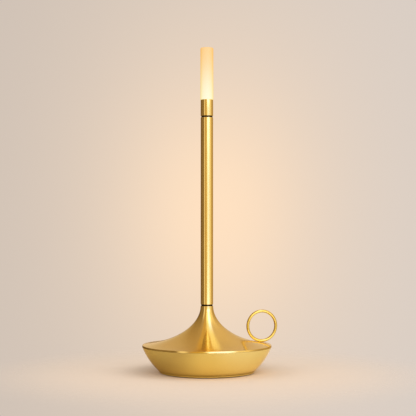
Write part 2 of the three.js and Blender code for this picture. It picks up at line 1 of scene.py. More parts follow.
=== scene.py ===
"""Looks of a cordless candlestick table lamp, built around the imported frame.

Sizes are in metres, in the frame's own axes: the lamp's axis is Z, and the ring handle stands on +X.
"""

import json
import logging
import math
from dataclasses import dataclass
from enum import Enum
from typing import Any, Callable, Sequence

import bmesh
import bpy
from mathutils import Matrix, Vector


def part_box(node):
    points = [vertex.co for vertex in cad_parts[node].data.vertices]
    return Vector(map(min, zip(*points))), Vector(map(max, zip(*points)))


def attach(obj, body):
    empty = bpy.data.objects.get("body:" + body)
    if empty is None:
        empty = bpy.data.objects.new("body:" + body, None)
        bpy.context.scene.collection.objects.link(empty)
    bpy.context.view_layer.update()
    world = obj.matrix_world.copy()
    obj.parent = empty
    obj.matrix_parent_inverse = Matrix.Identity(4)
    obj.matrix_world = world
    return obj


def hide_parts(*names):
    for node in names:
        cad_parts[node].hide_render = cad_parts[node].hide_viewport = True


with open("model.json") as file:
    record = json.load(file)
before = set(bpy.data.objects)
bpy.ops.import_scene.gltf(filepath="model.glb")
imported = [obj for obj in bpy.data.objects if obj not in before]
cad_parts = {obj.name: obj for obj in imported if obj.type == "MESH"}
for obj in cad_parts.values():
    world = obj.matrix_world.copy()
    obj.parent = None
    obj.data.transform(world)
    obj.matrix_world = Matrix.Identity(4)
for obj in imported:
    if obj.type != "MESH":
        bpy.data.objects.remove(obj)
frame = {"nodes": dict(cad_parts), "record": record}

log = logging.getLogger("lamp")

MM = 0.001
EDGE_ANGLE = math.radians(32)
WELD = 2e-6
HALVINGS = 40
DEGREES = 180 / math.pi

# Roundings of turned edges, from the crispest to the softest
FINE, CRISP, EASED, SOFT, WORN, FULL = 0.05 * MM, 0.08 * MM, 0.1 * MM, 0.15 * MM, 0.2 * MM, 0.3 * MM

Colour = tuple[float, float, float]
Point = tuple[float, float]
Pair = tuple[float, float]
Outline = list[tuple[float, ...]]
Sockets = dict[Any, Any]


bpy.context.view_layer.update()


# Shader maths


def operator(operation: str, reflected: bool = False) -> Callable[["Value", Any], "Value"]:
    """Makes the method behind one arithmetic operator.

    Args:
        operation: the Math node's operation.
        reflected: whether the other operand comes first.

    Returns:
        The method, which adds one Math node.
    """

    def method(self: "Value", other: Any) -> "Value":
        """Applies the operator to both operands."""
        return self.maths(operation, *((other, self) if reflected else (self, other)))

    return method


class Value:
    """A node's socket that takes part in Python expressions."""

    __add__, __radd__ = operator("ADD"), operator("ADD", True)
    __sub__, __rsub__ = operator("SUBTRACT"), operator("SUBTRACT", True)
    __mul__, __rmul__ = operator("MULTIPLY"), operator("MULTIPLY", True)
    __truediv__, __rtruediv__ = operator("DIVIDE"), operator("DIVIDE", True)
    __pow__, __rpow__ = operator("POWER"), operator("POWER", True)

    def __init__(self, tree: bpy.types.NodeTree, socket: bpy.types.NodeSocket) -> None:
        """Wraps one output socket of a node in the tree."""
        self.tree = tree
        self.socket = socket

    def maths(self, operation: str, *operands: Any) -> "Value":
        """Adds one Math node, with its operands in the order of its sockets."""
        return Nodes(self.tree).value("ShaderNodeMath", dict(enumerate(operands)), operation=operation)

    def size(self) -> "Value":
        """Absolute value."""
        return self.maths("ABSOLUTE", self)

    def larger(self, other: Any) -> "Value":
        """The larger of two values."""
        return self.maths("MAXIMUM", self, other)

    def angle(self, level: Any) -> "Value":
        """Degrees of the angle whose sides are this value and a level one."""
        return self.maths("ARCTAN2", self, level) * DEGREES

    def step(self, low: float, high: float) -> "Value":
        """Smooth step, which is 0 at low and 1 at high."""
        span = {"Value": self, "From Min": low, "From Max": high}
        return Nodes(self.tree).value("ShaderNodeMapRange", span, interpolation_type="SMOOTHSTEP")


class Nodes:
    """Makes the nodes of one tree."""

    def __init__(self, tree: bpy.types.NodeTree) -> None:
        """Keeps the tree that the nodes go into."""
        self.tree = tree

    @property
    def place(self) -> Value:
        """Object coordinates."""
        return self.value("ShaderNodeTexCoord", output="Object")

    def add(self, kind: str, inputs: Sockets | None = None, **settings: Any) -> bpy.types.Node:
        """Adds a node.

        Args:
            kind: the node's type.
            inputs: values or links for its sockets, by name or number.
            settings: its own properties, which are set first.

        Returns:
            The new node.
        """
        node = self.tree.nodes.new(kind)
        for name, value in settings.items():
            setattr(node, name, value)
        for name, value in (inputs or {}).items():
            socket = node.inputs[name]
            if isinstance(value, Value):
                value = value.socket
            elif isinstance(value, bpy.types.Node):
                value = value.outputs[0]
            if isinstance(value, bpy.types.NodeSocket):
                self.tree.links.new(value, socket)
            elif socket.type == "RGBA" and len(value) == 3:
                socket.default_value = (*value, 1.0)
            else:
                socket.default_value = value
        return node

    def value(self, kind: str, inputs: Sockets | None = None, output: Any = 0, **settings: Any) -> Value:
        """Adds a node and wraps one of its outputs."""
        return Value(self.tree, self.add(kind, inputs, **settings).outputs[output])

    def mix(self, share: Any, first: Any, second: Any) -> bpy.types.NodeSocket:
        """Mixes two colours, given as values or links, by the share of the second."""
        # Sockets of a colour Mix node: 0 is the factor, 6 and 7 are the colours, and output 2 is the result
        return self.add("ShaderNodeMix", {0: share, 6: first, 7: second}, data_type="RGBA").outputs[2]

    def blend(self, share: Any, first: bpy.types.Node, second: bpy.types.Node) -> bpy.types.Node:
        """Mixes two shaders by the share of the second."""
        return self.add("ShaderNodeMixShader", {0: share, 1: first, 2: second})

    def parts(self, vector: Value) -> tuple[Value, ...]:
        """Splits a vector into X, Y and Z."""
        node = self.add("ShaderNodeSeparateXYZ", {0: vector})
        return tuple(Value(self.tree, part) for part in node.outputs)

    def join(self, *parts: Any) -> Value:
        """Joins X, Y and Z into a vector."""
        return self.value("ShaderNodeCombineXYZ", dict(enumerate(parts)))

    def dot(self, vector: Value, other: Vector) -> Value:
        """Dot product with a fixed vector."""
        pair = {0: vector, 1: tuple(other)}
        return self.value("ShaderNodeVectorMath", pair, "Value", operation="DOT_PRODUCT")

    def noise(self, vector: Value, scale: float, detail: float = 2.0, roughness: float = 0.6) -> Value:
        """Noise from 0 to 1, in cells of 1 / scale metres."""
        sockets = {"Vector": vector, "Scale": scale, "Detail": detail, "Roughness": roughness}
        return self.value("ShaderNodeTexNoise", sockets, "Fac")

    def bump(self, height: Any, depth: float, strength: float) -> bpy.types.NodeSocket:
        """Turns a height from 0 to 1 into a shading normal, depth metres deep."""
        relief = {"Height": height, "Distance": depth, "Strength": strength}
        return self.add("ShaderNodeBump", relief).outputs[0]


def shaded(colour: Colour, *shares: float) -> Colour:
    """A darker colour, by one share for the whole or one for each channel."""
    return tuple(value * shares[index % len(shares)] for index, value in enumerate(colour))


def finish_name(slot: str) -> str:
    """Name of a slot's material, which differs from the frame's own that the slot names."""
    return slot.replace("_", " ")


def new_material(name: str, make: Callable[[Nodes], bpy.types.Node]) -> bpy.types.Material:
    """Makes a material.

    Args:
        name: the slot that it finishes.
        make: makes its shader.

    Returns:
        The material.
    """
    material = bpy.data.materials.new(finish_name(name))
    material.use_nodes = True
    material.node_tree.nodes.clear()
    nodes = Nodes(material.node_tree)
    nodes.add("ShaderNodeOutputMaterial", {"Surface": make(nodes)})
    return material


# Finishes


@dataclass(frozen=True)
class Coat:
    """What all finishes share: the record's material slot, and a main colour."""

    slot: str
    colour: Colour

    def material(self) -> bpy.types.Material:
        """Makes the material."""
        return new_material(self.slot, self.shader)

    def shader(self, nodes: Nodes) -> bpy.types.Node:
        """Makes the shader."""
        return nodes.add("ShaderNodeBsdfPrincipled", self.sockets(nodes))

    def sockets(self, nodes: Nodes) -> Sockets:
        """Values and links of the shader's sockets."""
        raise NotImplementedError


@dataclass(frozen=True)
class Brass(Coat):
    """Turned brass: fine rings around the axis, and a slight unevenness of the satin.

    Attributes:
        line_scale: turned lines for each metre.
        stretch: how much longer highlights are across the lines.
        tarnish: share of darker tarnish in the unevenness.
        haze: share of light that the satin scatters widely.
        edge: tint where the metal is seen at a low angle.
        tarnished: share of each channel that tarnish leaves.
    """

    roughness: float
    line_depth: float
    line_scale: float
    stretch: float
    tarnish: float
    haze: float
    edge: Colour = (1.0, 0.86, 0.62)
    tarnished: Colour = (0.86, 0.8, 0.68)
    haze_roughness: float = 0.6

    def sockets(self, nodes: Nodes) -> Sockets:
        """Works out the sharp gloss.

        Args:
            nodes: makes the nodes.

        Returns:
            Values and links by socket name.
        """
        place = nodes.place
        x, y, z = nodes.parts(place)
        lines = nodes.noise(nodes.join((x * x + y * y) ** 0.5, 0.0, z), self.line_scale, detail=3.0)
        cloud = nodes.noise(place, scale=28.0, detail=3.0, roughness=0.55)
        specks = nodes.noise(place, scale=900.0, roughness=0.7).step(0.66, 0.85)
        share = cloud.step(0.35, 0.8) * self.tarnish + specks * (self.tarnish * 0.2)
        return {
            "Base Color": nodes.mix(share, self.colour, shaded(self.colour, *self.tarnished)),
            "Metallic": 1.0,
            "Specular Tint": self.edge,
            "Normal": nodes.bump(lines, self.line_depth, strength=0.5),
            "Roughness": (cloud - 0.5) * 0.05 + (lines - 0.5) * 0.02 + self.roughness,
            "Anisotropic": self.stretch,
            "Anisotropic Rotation": 0.25,
        }

    def shader(self, nodes: Nodes) -> bpy.types.Node:
        """Mixes the sharp gloss, stretched across the lines, with the haze.

        Args:
            nodes: makes the nodes.

        Returns:
            The mixed shader.
        """
        sharp = self.sockets(nodes)
        wide = sharp | {"Roughness": self.haze_roughness, "Anisotropic": 0.0, "Anisotropic Rotation": 0.0}
        lobes = (nodes.add("ShaderNodeBsdfPrincipled", lobe) for lobe in (sharp, wide))
        return nodes.blend(self.haze, *lobes)


@dataclass(frozen=True)
class Metal(Coat):
    """Plain metal with small stains, and rolling marks at the grain's scale along X, Y and Z."""

    roughness: float
    grain: tuple[float, float, float]

    def sockets(self, nodes: Nodes) -> Sockets:
        """Works out the marks and stains.

        Args:
            nodes: makes the nodes.

        Returns:
            Values and links by socket name.
        """
        place = nodes.place
        scaled = nodes.join(*(part * scale for part, scale in zip(nodes.parts(place), self.grain)))
        marks = nodes.noise(scaled, scale=1.0, detail=3.0)
        stains = nodes.noise(place, scale=180.0, detail=4.0).step(0.5, 0.85)
        return {
            "Base Color": nodes.mix(stains * 0.5, self.colour, shaded(self.colour, 0.72)),
            "Metallic": 1.0,
            "Roughness": (marks - 0.5) * 0.14 + stains * 0.08 + self.roughness,
            "Normal": nodes.bump(marks, depth=0.02 * MM, strength=0.6),
        }


@dataclass(frozen=True)
class Moulded(Coat):
    """Moulded plastic or rubber with a fine even texture, which mirrors as strongly as its gloss."""

    roughness: float
    texture_scale: float
    texture_depth: float
    gloss: float = 0.5

    def sockets(self, nodes: Nodes) -> Sockets:
        """Works out the texture.

        Args:
            nodes: makes the nodes.

        Returns:
            Values and links by socket name.
        """
        place = nodes.place
        grain = nodes.noise(place, self.texture_scale)
        cloud = nodes.noise(place, scale=70.0, detail=3.0)
        return {
            "Base Color": nodes.mix(cloud * 0.7, self.colour, shaded(self.colour, 0.75)),
            "Roughness": (grain - 0.5) * 0.2 + (cloud - 0.5) * 0.1 + self.roughness,
            "Specular IOR Level": self.gloss,
            "Normal": nodes.bump(grain, self.texture_depth, strength=0.6),
        }


@dataclass(frozen=True)
class Laminate(Coat):
    """Circuit board: lacquered laminate with copper tracks that show through."""

    track_colour: Colour

    def sockets(self, nodes: Nodes) -> Sockets:
        """Works out the tracks, which are the joints of a brick pattern.

        Args:
            nodes: makes the nodes.

        Returns:
            Values and links by socket name.
        """
        place = nodes.place
        bare = {"Color1": (0, 0, 0), "Color2": (0, 0, 0), "Mortar": (1, 1, 1)}
        bricks = {"Vector": place, "Scale": 260.0, "Mortar Size": 0.06} | bare
        tracks = nodes.value("ShaderNodeTexBrick", bricks, "Color", offset=0.5, squash=1.0)
        weave = nodes.noise(place, scale=2500.0, detail=1.0, roughness=0.5)
        return {
            "Base Color": nodes.mix(tracks, self.colour, self.track_colour),
            "Roughness": (weave - 0.5) * 0.15 + 0.38,
            "Coat Weight": 0.4,
            "Coat Roughness": 0.2,
            "Normal": nodes.bump(tracks, depth=0.03 * MM, strength=0.7),
        }


@dataclass(frozen=True)
class Frosted(Coat):
    """Frosted tube lit from within, brightest at a low height and weakest at a high one.

    The light leaves it evenly, and wall_tint warms it where the wall is seen edge-on.
    """

    low_glow: Colour
    high_glow: Colour
    wall_tint: Colour
    low: float
    high: float

    def sockets(self, nodes: Nodes) -> Sockets:
        """Works out the glow and the frost.

        Args:
            nodes: makes the nodes.

        Returns:
            Values and links by socket name.
        """
        place = nodes.place
        height = nodes.parts(place)[2]
        frost = nodes.noise(place, scale=2600.0)
        cloud = nodes.noise(place, scale=90.0, roughness=0.5)
        share = height.step(self.low, self.high) ** 1.2 + (cloud - 0.5) * 0.06
        return {
            "Base Color": nodes.mix(cloud * 0.3, self.colour, shaded(self.colour, 0.94)),
            "Roughness": (frost - 0.5) * 0.2 + 0.5,
            "Emission Color": nodes.mix(share, self.low_glow, self.high_glow),
            "Emission Strength": 1.0,
            "Coat Weight": 1.0,
            "Coat IOR": 1.06,
            "Coat Roughness": 0.4,
            "Coat Tint": self.wall_tint,
            "Normal": nodes.bump(frost, depth=0.02 * MM, strength=0.5),
        }


@dataclass(frozen=True)
class Phosphor(Coat):
    """Yellow emitter of the light board, with a fine powder grain."""

    strength: float

    def sockets(self, nodes: Nodes) -> Sockets:
        """Works out the powder.

        Args:
            nodes: makes the nodes.

        Returns:
            Values and links by socket name.
        """
        powder = nodes.noise(nodes.place, scale=4000.0)
        glow = nodes.mix(powder * 0.4, self.colour, shaded(self.colour, 0.8))
        return {
            "Base Color": glow,
            "Roughness": powder * 0.2 + 0.4,
            "Emission Color": glow,
            "Emission Strength": self.strength,
            "Normal": nodes.bump(powder, depth=0.02 * MM, strength=0.5),
        }


POLISH: Colour = (0.83, 0.65, 0.13)
POLISH_EDGE: Colour = (0.75, 0.56, 0.22)
GLOW_LOW, GLOW_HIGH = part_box("diffuser")[0].z - 6 * MM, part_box("diffuser")[1].z


class Finish(Enum):
    """The finishes of the lamp's pieces, by the record's material slots.

    Each row gives the slot and then the other fields of its class, in their order.
    """

    SATIN = Brass("satin_brass", (0.93, 0.77, 0.28), 0.15, 0.0008 * MM, 2200.0, 0.9, 0.3, 0.08)
    POLISHED = Brass("polished_brass", POLISH, 0.15, 0.001 * MM, 1800.0, 0.0, 0.3, 0.03, POLISH_EDGE)
    PLAIN = Brass("plain_brass", (0.78, 0.53, 0.2), 0.3, 0.008 * MM, 2600.0, 0.2, 0.7, 0.2)
    BALLAST = Metal("ballast_steel", (0.36, 0.36, 0.37), 0.45, (300.0, 2400.0, 300.0))
    SCREW = Metal("screw_steel", (0.52, 0.52, 0.54), 0.34, (900.0, 900.0, 3500.0))
    PORT = Metal("port_steel", (0.6, 0.6, 0.61), 0.26, (3000.0, 400.0, 3000.0))
    NICKEL = Metal("nickel_plate", (0.63, 0.6, 0.54), 0.28, (900.0, 900.0, 3000.0))
    ALUMINIUM = Metal("sink_aluminium", (0.72, 0.73, 0.75), 0.42, (1500.0, 1500.0, 5000.0))
    FOOT = Moulded("foot_rubber", (0.022, 0.02, 0.018), 0.75, 1600.0, 0.05 * MM)
    GASKET = Moulded("gasket_rubber", (0.014, 0.009, 0.004), 0.9, 2400.0, 0.02 * MM, 0.08)
    BLACK = Moulded("black_plastic", (0.015, 0.011, 0.008), 0.7, 2600.0, 0.01 * MM, 0.12)
    CARRIER = Moulded("carrier_plastic", (0.07, 0.076, 0.082), 0.55, 1200.0, 0.03 * MM)
    BOARD = Laminate("circuit_board", (0.014, 0.085, 0.035), (0.045, 0.2, 0.07))
    CHIP = Moulded("chip_black", (0.012, 0.012, 0.013), 0.42, 3000.0, 0.01 * MM)
    WRAP = Moulded("cell_wrap", (0.035, 0.15, 0.34), 0.3, 500.0, 0.01 * MM)
    RED = Moulded("red_insulation", (0.38, 0.02, 0.014), 0.42, 2000.0, 0.01 * MM)
    DARK = Moulded("black_insulation", (0.01, 0.01, 0.01), 0.42, 2000.0, 0.01 * MM)
    FLEX = Laminate("flex_amber", (0.4, 0.16, 0.02), (0.52, 0.26, 0.06))
    EMITTER = Phosphor("led_phosphor", (0.9, 0.62, 0.08), 2.0)
    DIFFUSER = Frosted(
        "frosted_diffuser",
        colour=(0.2, 0.17, 0.13),
        low_glow=(0.82, 0.98, 1.23),
        high_glow=(0.81, 0.6, 0.45),
        wall_tint=(0.995, 0.87, 0.55),
        low=GLOW_LOW,
        high=GLOW_HIGH,
    )

    @property
    def slot(self) -> str:
        """The record's material slot."""
        return self.value.slot

    def made(self) -> bpy.types.Material:
        """The finish's material, made at its first use."""
        return bpy.data.materials.get(finish_name(self.slot)) or self.value.material()


# Turned shapes


def softened(outline: Outline, steps: int) -> list[Point]:
    """Rounds the corners of a closed outline.

    Args:
        outline: corners in order around the section, as (radius, height) or (radius, height, rounding).
        steps: number of short faces in each rounding.

    Returns:
        The outline's points as (radius, height).
    """
    points: list[Point] = []
    places = [Vector(corner[:2]) for corner in outline]
    for index, here in enumerate(places):
        back, ahead = places[index - 1] - here, places[(index + 1) % len(places)] - here
        _, _, rounding = (*outline[index], 0.0)[:3]
        if rounding <= 0 or back.length < WELD or ahead.length < WELD:
            points.append(tuple(here))
            continue
        half = back.angle(ahead) / 2
        # The roundings at both ends of an edge share it, so each stays under half of it
        reach = min(rounding / math.tan(half), 0.49 * min(back.length, ahead.length))
        start, end = here + back.normalized() * reach, here + ahead.normalized() * reach
        for share in evenly(0, 1, steps):
            # A quadratic curve is as good as an arc at this size
            points.append(tuple(start.lerp(here, share).lerp(here.lerp(end, share), share)))
    return points


def evenly(low: float, high: float, count: int) -> list[float]:
    """Evenly spaced numbers from low to high, with count gaps between them."""
    return [low + (high - low) * index / count for index in range(count + 1)]


def plain_ring(inner: float, outer: float, low: float, high: float, edge: float = 0.0) -> Outline:
    """Outline of a plain ring, with the same rounding at its four corners."""
    return [(inner, low, edge), (outer, low, edge), (outer, high, edge), (inner, high, edge)]


def stadium(box: tuple[Vector, Vector], margin: float = 0.0, steps: int = 14) -> list[Point]:
    """Outline with two round ends that fills a box, seen along Y.

    Args:
        box: its lowest and highest corner.
        margin: how far the outline is grown past it.
        steps: short faces in each round end.

    Returns:
        Points as (x, z).
    """
    low, high = box
    width, height, middle = high.x - low.x + 2 * margin, high.z - low.z + 2 * margin, (low.z + high.z) / 2
    points = []
    for side, first in ((1, -math.pi / 2), (-1, math.pi / 2)):
        for angle in evenly(first, first + math.pi, steps):
            across, up = height / 2 * math.cos(angle), height / 2 * math.sin(angle)
            points.append((side * (width - height) / 2 + across, middle + up))
    return points


def put(name: str, data: bpy.types.ID) -> bpy.types.Object:
    """Puts an object in the scene.

    Args:
        name: the object's name.
        data: the mesh, light or camera that it shows.

    Returns:
        The object.
    """
    thing = bpy.data.objects.new(name, data)
    bpy.context.scene.collection.objects.link(thing)
    return thing


def settle(piece: bpy.types.Object) -> None:
    """Turns faces outwards, shades them smooth and keeps true edges sharp.

    Args:
        piece: the piece whose mesh is settled.
    """
    form = bmesh.new()
    form.from_mesh(piece.data)
    bmesh.ops.remove_doubles(form, verts=form.verts, dist=WELD)
    bmesh.ops.recalc_face_normals(form, faces=form.faces)
    if form.calc_volume(signed=True) < 0:
        bmesh.ops.reverse_faces(form, faces=form.faces)
    form.to_mesh(piece.data)
    form.free()
    piece.data.shade_smooth()
    piece.data.set_sharp_from_angle(angle=EDGE_ANGLE)


def keep_result(piece: bpy.types.Object) -> None:
    """Makes what the modifiers show the piece's plain mesh, and removes them.

    Args:
        piece: the piece that changes.
    """
    bpy.context.view_layer.update()
    shape = piece.evaluated_get(bpy.context.evaluated_depsgraph_get())
    mesh = bpy.data.meshes.new_from_object(shape)
    piece.modifiers.clear()
    old, piece.data = piece.data, mesh
    mesh.name = piece.name
    bpy.data.meshes.remove(old)


INT, FLOAT, VECTOR = "NodeSocketInt", "NodeSocketFloat", "NodeSocketVector"


class GeometryTree(Nodes):
    """Builds a geometry node tree and runs it on an object."""

    def __init__(self, name: str, inputs: dict[str, str]) -> None:
        """Starts a tree.

        Args:
            name: the tree's name.
            inputs: the named inputs, beside the material, and their socket types.
        """
        super().__init__(bpy.data.node_groups.new(name, "GeometryNodeTree"))
        interface = self.tree.interface
        interface.new_socket("Geometry", in_out="INPUT", socket_type="NodeSocketGeometry")
        self.identifiers = {
            label: interface.new_socket(label, in_out="INPUT", socket_type=kind).identifier
            for label, kind in (inputs | {"Material": "NodeSocketMaterial"}).items()
        }
        interface.new_socket("Geometry", in_out="OUTPUT", socket_type="NodeSocketGeometry")
        self.start = self.add("NodeGroupInput")

    def given(self, label: str) -> Value:
        """A named input."""
        return Value(self.tree, self.start.outputs[label])

    def finish(self, geometry: bpy.types.Node) -> "GeometryTree":
        """Ends the tree: realized, with its material set.

        Args:
            geometry: the node that gives the last shape.

        Returns:
            The tree itself.
        """
        real = self.add("GeometryNodeRealizeInstances", {0: geometry})
        dress = {"Geometry": real, "Material": self.given("Material")}
        self.add("NodeGroupOutput", {0: self.add("GeometryNodeSetMaterial", dress)})
        return self

    def run(self, name: str, seed: bpy.types.Mesh, finish: Finish, values: Sockets) -> bpy.types.Object:
        """Runs the tree and keeps the result as a plain mesh.

        Args:
            name: the piece's name.
            seed: the mesh that the tree starts from; it is discarded.
            finish: what the result is finished in.
            values: the other named inputs.

        Returns:
            An object that holds the result, with no modifier.
        """
        thing = put(name, seed)
        modifier = thing.modifiers.new(self.tree.name, "NODES")
        modifier.node_group = self.tree
        for label, value in (values | {"Material": finish.made()}).items():
            modifier[self.identifiers[label]] = value
        keep_result(thing)
        return thing


def lathe_tree() -> GeometryTree:
    """Makes the lathe.

    Returns:
        A tree that turns an outline of points, X out and Z up, around the Z axis.
    """
    tree = GeometryTree("lathe", {"Sides": INT})
    outline, sides = tree.given("Geometry"), tree.given("Sides")
    count = tree.value("GeometryNodeAttributeDomainSize", {0: outline}, "Point Count", component="MESH")
    sheet = tree.add("GeometryNodeMeshGrid", {"Vertices X": sides + 1.0, "Vertices Y": count})
    place = {0: tree.add("GeometryNodeInputIndex"), 1: count}
    along = tree.add("FunctionNodeIntegerMath", place, operation="MODULO")
    around = tree.value("FunctionNodeIntegerMath", place, operation="DIVIDE")
    source = {"Geometry": outline, "Value": tree.add("GeometryNodeInputPosition"), "Index": along}
    point = tree.add("GeometryNodeSampleIndex", source, data_type="FLOAT_VECTOR", domain="POINT")
    turn = {"Vector": point, "Angle": around / sides * math.tau}
    turned = tree.add("ShaderNodeVectorRotate", turn, rotation_type="Z_AXIS")
    shell = tree.add("GeometryNodeSetPosition", {"Geometry": sheet, "Position": turned})
    return tree.finish(tree.add("GeometryNodeMergeByDistance", {"Geometry": shell, "Distance": WELD}))


def hoop_tree() -> GeometryTree:
    """Makes the ring bender.

    Returns:
        A tree that bends a round wire into a hoop around Y, about a point.
    """
    sizes = {"Hoop Radius": FLOAT, "Wire Radius": FLOAT, "Hoop Sides": INT, "Wire Sides": INT}
    tree = GeometryTree("hoop", sizes | {"Centre": VECTOR})
    path, wire = (
        tree.add(
            "GeometryNodeCurvePrimitiveCircle",
            {"Resolution": tree.given(f"{part} Sides"), "Radius": tree.given(f"{part} Radius")},
        )
        for part in ("Hoop", "Wire")
    )
    swept = tree.add("GeometryNodeCurveToMesh", {"Curve": path, "Profile Curve": wire})
    stand = {"Geometry": swept, "Rotation": (math.pi / 2, 0, 0), "Translation": tree.given("Centre")}
    return tree.finish(tree.add("GeometryNodeTransform", stand))


def rows_tree() -> GeometryTree:
    """Makes the repeater.

    Returns:
        A tree that repeats one small block in a row, and the row in turn, from the block's first place.
    """
    tree = GeometryTree("rows", {"Count": INT, "Pitch": VECTOR, "Rows": INT, "Row Pitch": VECTOR})
    block = tree.given("Geometry")
    for count, pitch in (("Count", "Pitch"), ("Rows", "Row Pitch")):
        line = {"Count": tree.given(count), "Offset": tree.given(pitch)}
        points = tree.add("GeometryNodeMeshLine", line, mode="OFFSET")
        block = tree.add("GeometryNodeInstanceOnPoints", {"Points": points, "Instance": block})
    return tree.finish(block)


class Workshop:
    """Makes finished pieces and hands them to the frame."""

    def __init__(self) -> None:
        """Builds the geometry trees once."""
        self.lathe, self.hoop, self.rows = lathe_tree(), hoop_tree(), rows_tree()

    def turned(
        self, name: str, outline: Outline, finish: Finish, sides: int = 192, steps: int = 5
    ) -> bpy.types.Object:
        """Turns a closed outline on the lathe.

        Args:
            name: the piece's name.
            outline: its section, in order around it.
            finish: what it is finished in.
            sides: number of faces around it.
            steps: short faces in each rounded corner.

        Returns:
            The piece.
        """
        points = softened(outline, steps)
        if all(radius > WELD for radius, _ in points):
            points.append(points[0])
        seed = bpy.data.meshes.new(name)
        seed.from_pydata([(radius, 0.0, height) for radius, height in points], [], [])
        piece = self.lathe.run(name, seed, finish, {"Sides": sides})
        settle(piece)
        return piece

    def drawn(
        self, name: str, rings: Sequence[tuple[float, Sequence[Point]]], finish: Finish
    ) -> bpy.types.Object:
        """Skins flat outlines that follow each other along Y, and closes both ends.

        Args:
            name: the piece's name.
            rings: the Y of each outline and its points as (x, z), as many in each.
            finish: what it is finished in.

        Returns:
            The piece.
        """
        count = len(rings[0][1])
        points = [(x, y, z) for y, outline in rings for x, z in outline]
        last = len(points) - count
        faces = []
        for low in range(0, last, count):
            for i in range(count):
                j = (i + 1) % count
                faces.append((low + i, low + j, low + count + j, low + count + i))
        faces += [tuple(range(count)), tuple(reversed(range(last, last + count)))]
        mesh = bpy.data.meshes.new(name)
        mesh.from_pydata(points, [], faces)
        mesh.materials.append(finish.made())
        piece = put(name, mesh)
        settle(piece)
        return piece

    def combine(self, piece: bpy.types.Object, tool: bpy.types.Object, operation: str) -> None:
        """Joins a tool to a piece or cuts it out, and discards the tool.

        Args:
            piece: the piece that changes.
            tool: the other shape.
            operation: UNION or DIFFERENCE.
        """
        modifier = piece.modifiers.new("shape", "BOOLEAN")
        modifier.operation = operation
        modifier.object = tool
        modifier.solver = "EXACT"
        keep_result(piece)
        bpy.data.meshes.remove(tool.data)
        settle(piece)

    def hand_over(self, piece: bpy.types.Object, body: str, finish: Finish, *nodes: str) -> None:
        """Gives a finished piece to its body.

        Args:
            piece: the finished piece.
            body: the body that it rides on.
            finish: its finish, which names its slot; it is not used.
            nodes: the frame's nodes that it stands for.
        """
        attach(piece, body)
        if nodes:
            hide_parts(*nodes)
        finish.slot
        log.info("%s: %d faces on %s", piece.name, len(piece.data.polygons), body)

    def turn_for(
        self, body: str, node: str, name: str, outline: Outline, finish: Finish, **faces: int
    ) -> None:
        """Turns a piece that stands for one node and needs nothing else, and hands it over."""
        self.hand_over(self.turned(name, outline, finish, **faces), body, finish, node)


# Sub-assemblies


